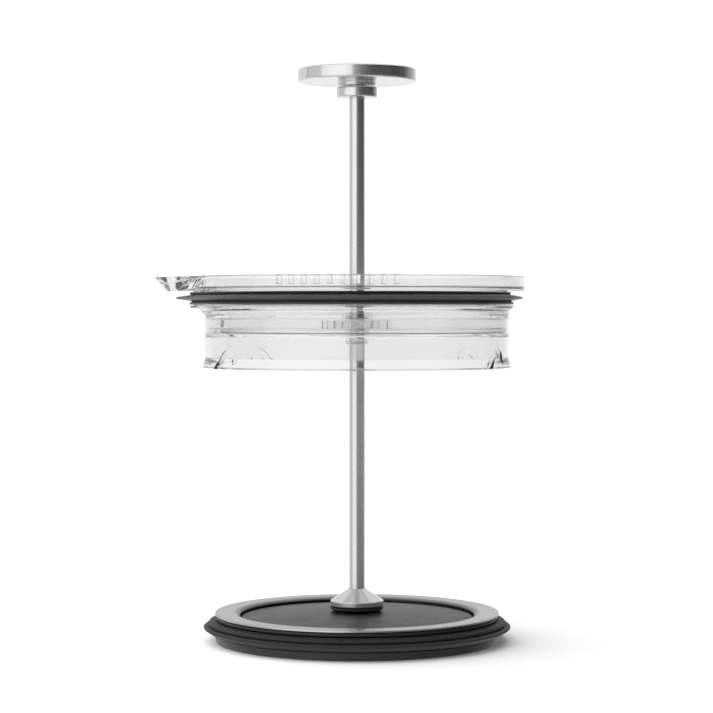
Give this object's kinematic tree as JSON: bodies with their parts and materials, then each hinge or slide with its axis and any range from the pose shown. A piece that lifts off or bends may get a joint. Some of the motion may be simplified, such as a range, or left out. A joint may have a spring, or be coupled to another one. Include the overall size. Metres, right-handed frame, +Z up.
{
  "type": "french press lid and plunger",
  "caption": "Clear spouted lid on a steel plunger rod with a disc knob, standing on its round sealed filter; the lid slides and turns on the rod, which unscrews from the filter.",
  "frame": {"origin": "middle of the flat pad under the filter's hub, on the rod's axis, at the level that the foot stands on", "axes": "+Z up along the rod, -X towards the lid's spout, -Y towards the front grip flutes"},
  "size_m": [0.1193, 0.1072, 0.1831],
  "materials": {
    "polished_steel": "turned and polished",
    "brushed_steel": "satin",
    "steel_mesh": "fine woven mesh",
    "clear_plastic": "clear gloss",
    "natural_nylon": "translucent",
    "black_silicone": "satin moulded",
    "black_plastic": "fine matt"
  },
  "bodies": {
    "filter": {"base_frame": "black_plastic", "hub_insert": "brushed_steel", "mesh_screen": "steel_mesh", "mesh_retainer": "black_plastic", "wiper_seal": "black_silicone", "steel_ring": "brushed_steel", "ring_carrier": "black_plastic", "press_disc": "black_plastic", "nut_washer": "black_silicone", "ring_screw_1": "brushed_steel", "ring_screw_2": "brushed_steel", "ring_screw_3": "brushed_steel"},
    "nut": {"flare_nut": "polished_steel"},
    "plunger": {"plunger_rod": "polished_steel", "knob": "polished_steel", "knob_collar": "polished_steel"},
    "guide": {"guide_bush": "natural_nylon", "rod_wiper": "black_silicone"},
    "lid": {"lid_body": "clear_plastic", "lid_insert": "clear_plastic", "lid_gasket": "black_silicone"}
  },
  "joints": [
    {"name": "rod_lift", "type": "slide", "parent": "filter", "child": "nut", "axis": [0, 0, 1], "range_m": [0, 0.004]},
    {"name": "rod_unscrew", "type": "hinge", "parent": "nut", "child": "plunger", "pos_m": [0, 0, 0.0142], "axis": [0, 0, 1], "range_deg": [0, 1800]},
    {"name": "lid_slide", "type": "slide", "parent": "plunger", "child": "guide", "axis": [0, 0, 1], "range_m": [-0.0778, 0.0604]},
    {"name": "lid_spin", "type": "hinge", "parent": "guide", "child": "lid", "pos_m": [0, 0, 0.105], "axis": [0, 0, 1], "continuous": true}
  ],
  "couplings": [
    {"joint": "rod_lift", "follows": "rod_unscrew", "m_per_rad": 0.00012732}
  ]
}
